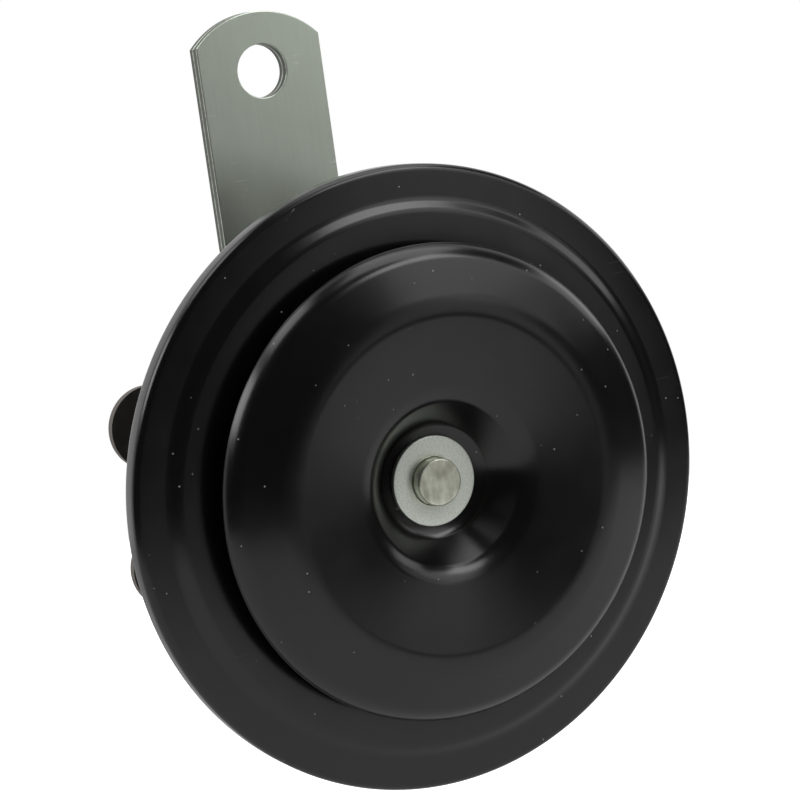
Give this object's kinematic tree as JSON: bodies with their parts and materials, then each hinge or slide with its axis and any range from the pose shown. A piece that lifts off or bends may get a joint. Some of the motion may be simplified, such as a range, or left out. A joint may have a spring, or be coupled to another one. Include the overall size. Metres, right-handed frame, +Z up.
{
  "type": "car horn",
  "caption": "Electric disc horn on a flat steel bracket: black pressed ring and dished tone disc in front, drawn housing with magnet, breaker and blade terminals behind.",
  "frame": {"origin": "on the axis of the bracket's mounting hole, in the bracket's rear face", "axes": "+Z up along the bracket, away from the horn; +Y back towards the car body; the sound side faces -Y"},
  "size_m": [0.1, 0.064, 0.1265],
  "materials": {
    "zinc_plated_steel": "zinc-plated rolled steel, dull grey",
    "black_coated_steel": "black dip coating, satin",
    "gasket_paper": "oiled gasket paper",
    "spring_steel": "rolled spring steel",
    "zinc_plated_washer": "bright zinc plating, fine grain",
    "bare_steel": "bare turned steel",
    "moulded_insulator": "black moulded phenolic",
    "moulded_bobbin": "natural nylon",
    "enamelled_copper": "enamelled copper wire",
    "contact_metal": "tungsten contact faces",
    "brass_strip": "rolled brass",
    "tinned_brass": "tin-plated brass",
    "red_lacquer": "sealing lacquer"
  },
  "bodies": {
    "horn_body": {"bracket_front_leaf": "zinc_plated_steel", "bracket_rear_leaf": "zinc_plated_steel", "bracket_spacer": "zinc_plated_steel", "spring_washer": "zinc_plated_steel", "bracket_nut": "zinc_plated_steel", "rear_housing": "black_coated_steel", "front_ring": "black_coated_steel", "front_gasket": "gasket_paper", "rear_gasket": "gasket_paper", "diaphragm": "spring_steel", "pole_core": "bare_steel", "pole_plate": "bare_steel", "plate_rivets": "zinc_plated_steel", "coil_bobbin": "moulded_bobbin", "coil_winding": "enamelled_copper", "breaker_base": "moulded_insulator", "breaker_spacer": "moulded_insulator", "breaker_cap": "moulded_insulator", "breaker_spring": "spring_steel", "moving_contact": "contact_metal", "fixed_contact": "contact_metal", "fixed_contact_arm": "brass_strip", "breaker_rivets": "brass_strip", "adjusting_screw": "zinc_plated_steel", "adjuster_tip": "moulded_insulator", "adjuster_nut": "zinc_plated_steel", "sealing_lacquer": "red_lacquer", "terminal_carrier": "moulded_insulator", "upper_terminal": "tinned_brass", "lower_terminal": "tinned_brass", "feed_rivets": "tinned_brass", "ear_rivets": "tinned_brass", "upper_feed_bush": "moulded_bobbin", "lower_feed_bush": "moulded_bobbin", "coil_lead": "enamelled_copper", "breaker_lead": "enamelled_copper", "feed_lead": "enamelled_copper"},
    "sounder": {"tone_disc": "black_coated_steel", "tone_disc_washer": "zinc_plated_washer", "front_hub_washer": "zinc_plated_washer", "rear_hub_washer": "zinc_plated_washer", "armature_stud": "bare_steel", "armature": "bare_steel", "pusher_collar": "moulded_insulator"}
  },
  "joints": [
    {"name": "armature_stroke", "type": "slide", "parent": "horn_body", "child": "sounder", "axis": [0, 1, 0], "range_m": [-0.0003, 0.0004], "stiffness_N_per_m": 2000, "deforming": ["diaphragm", "breaker_spring"]}
  ]
}
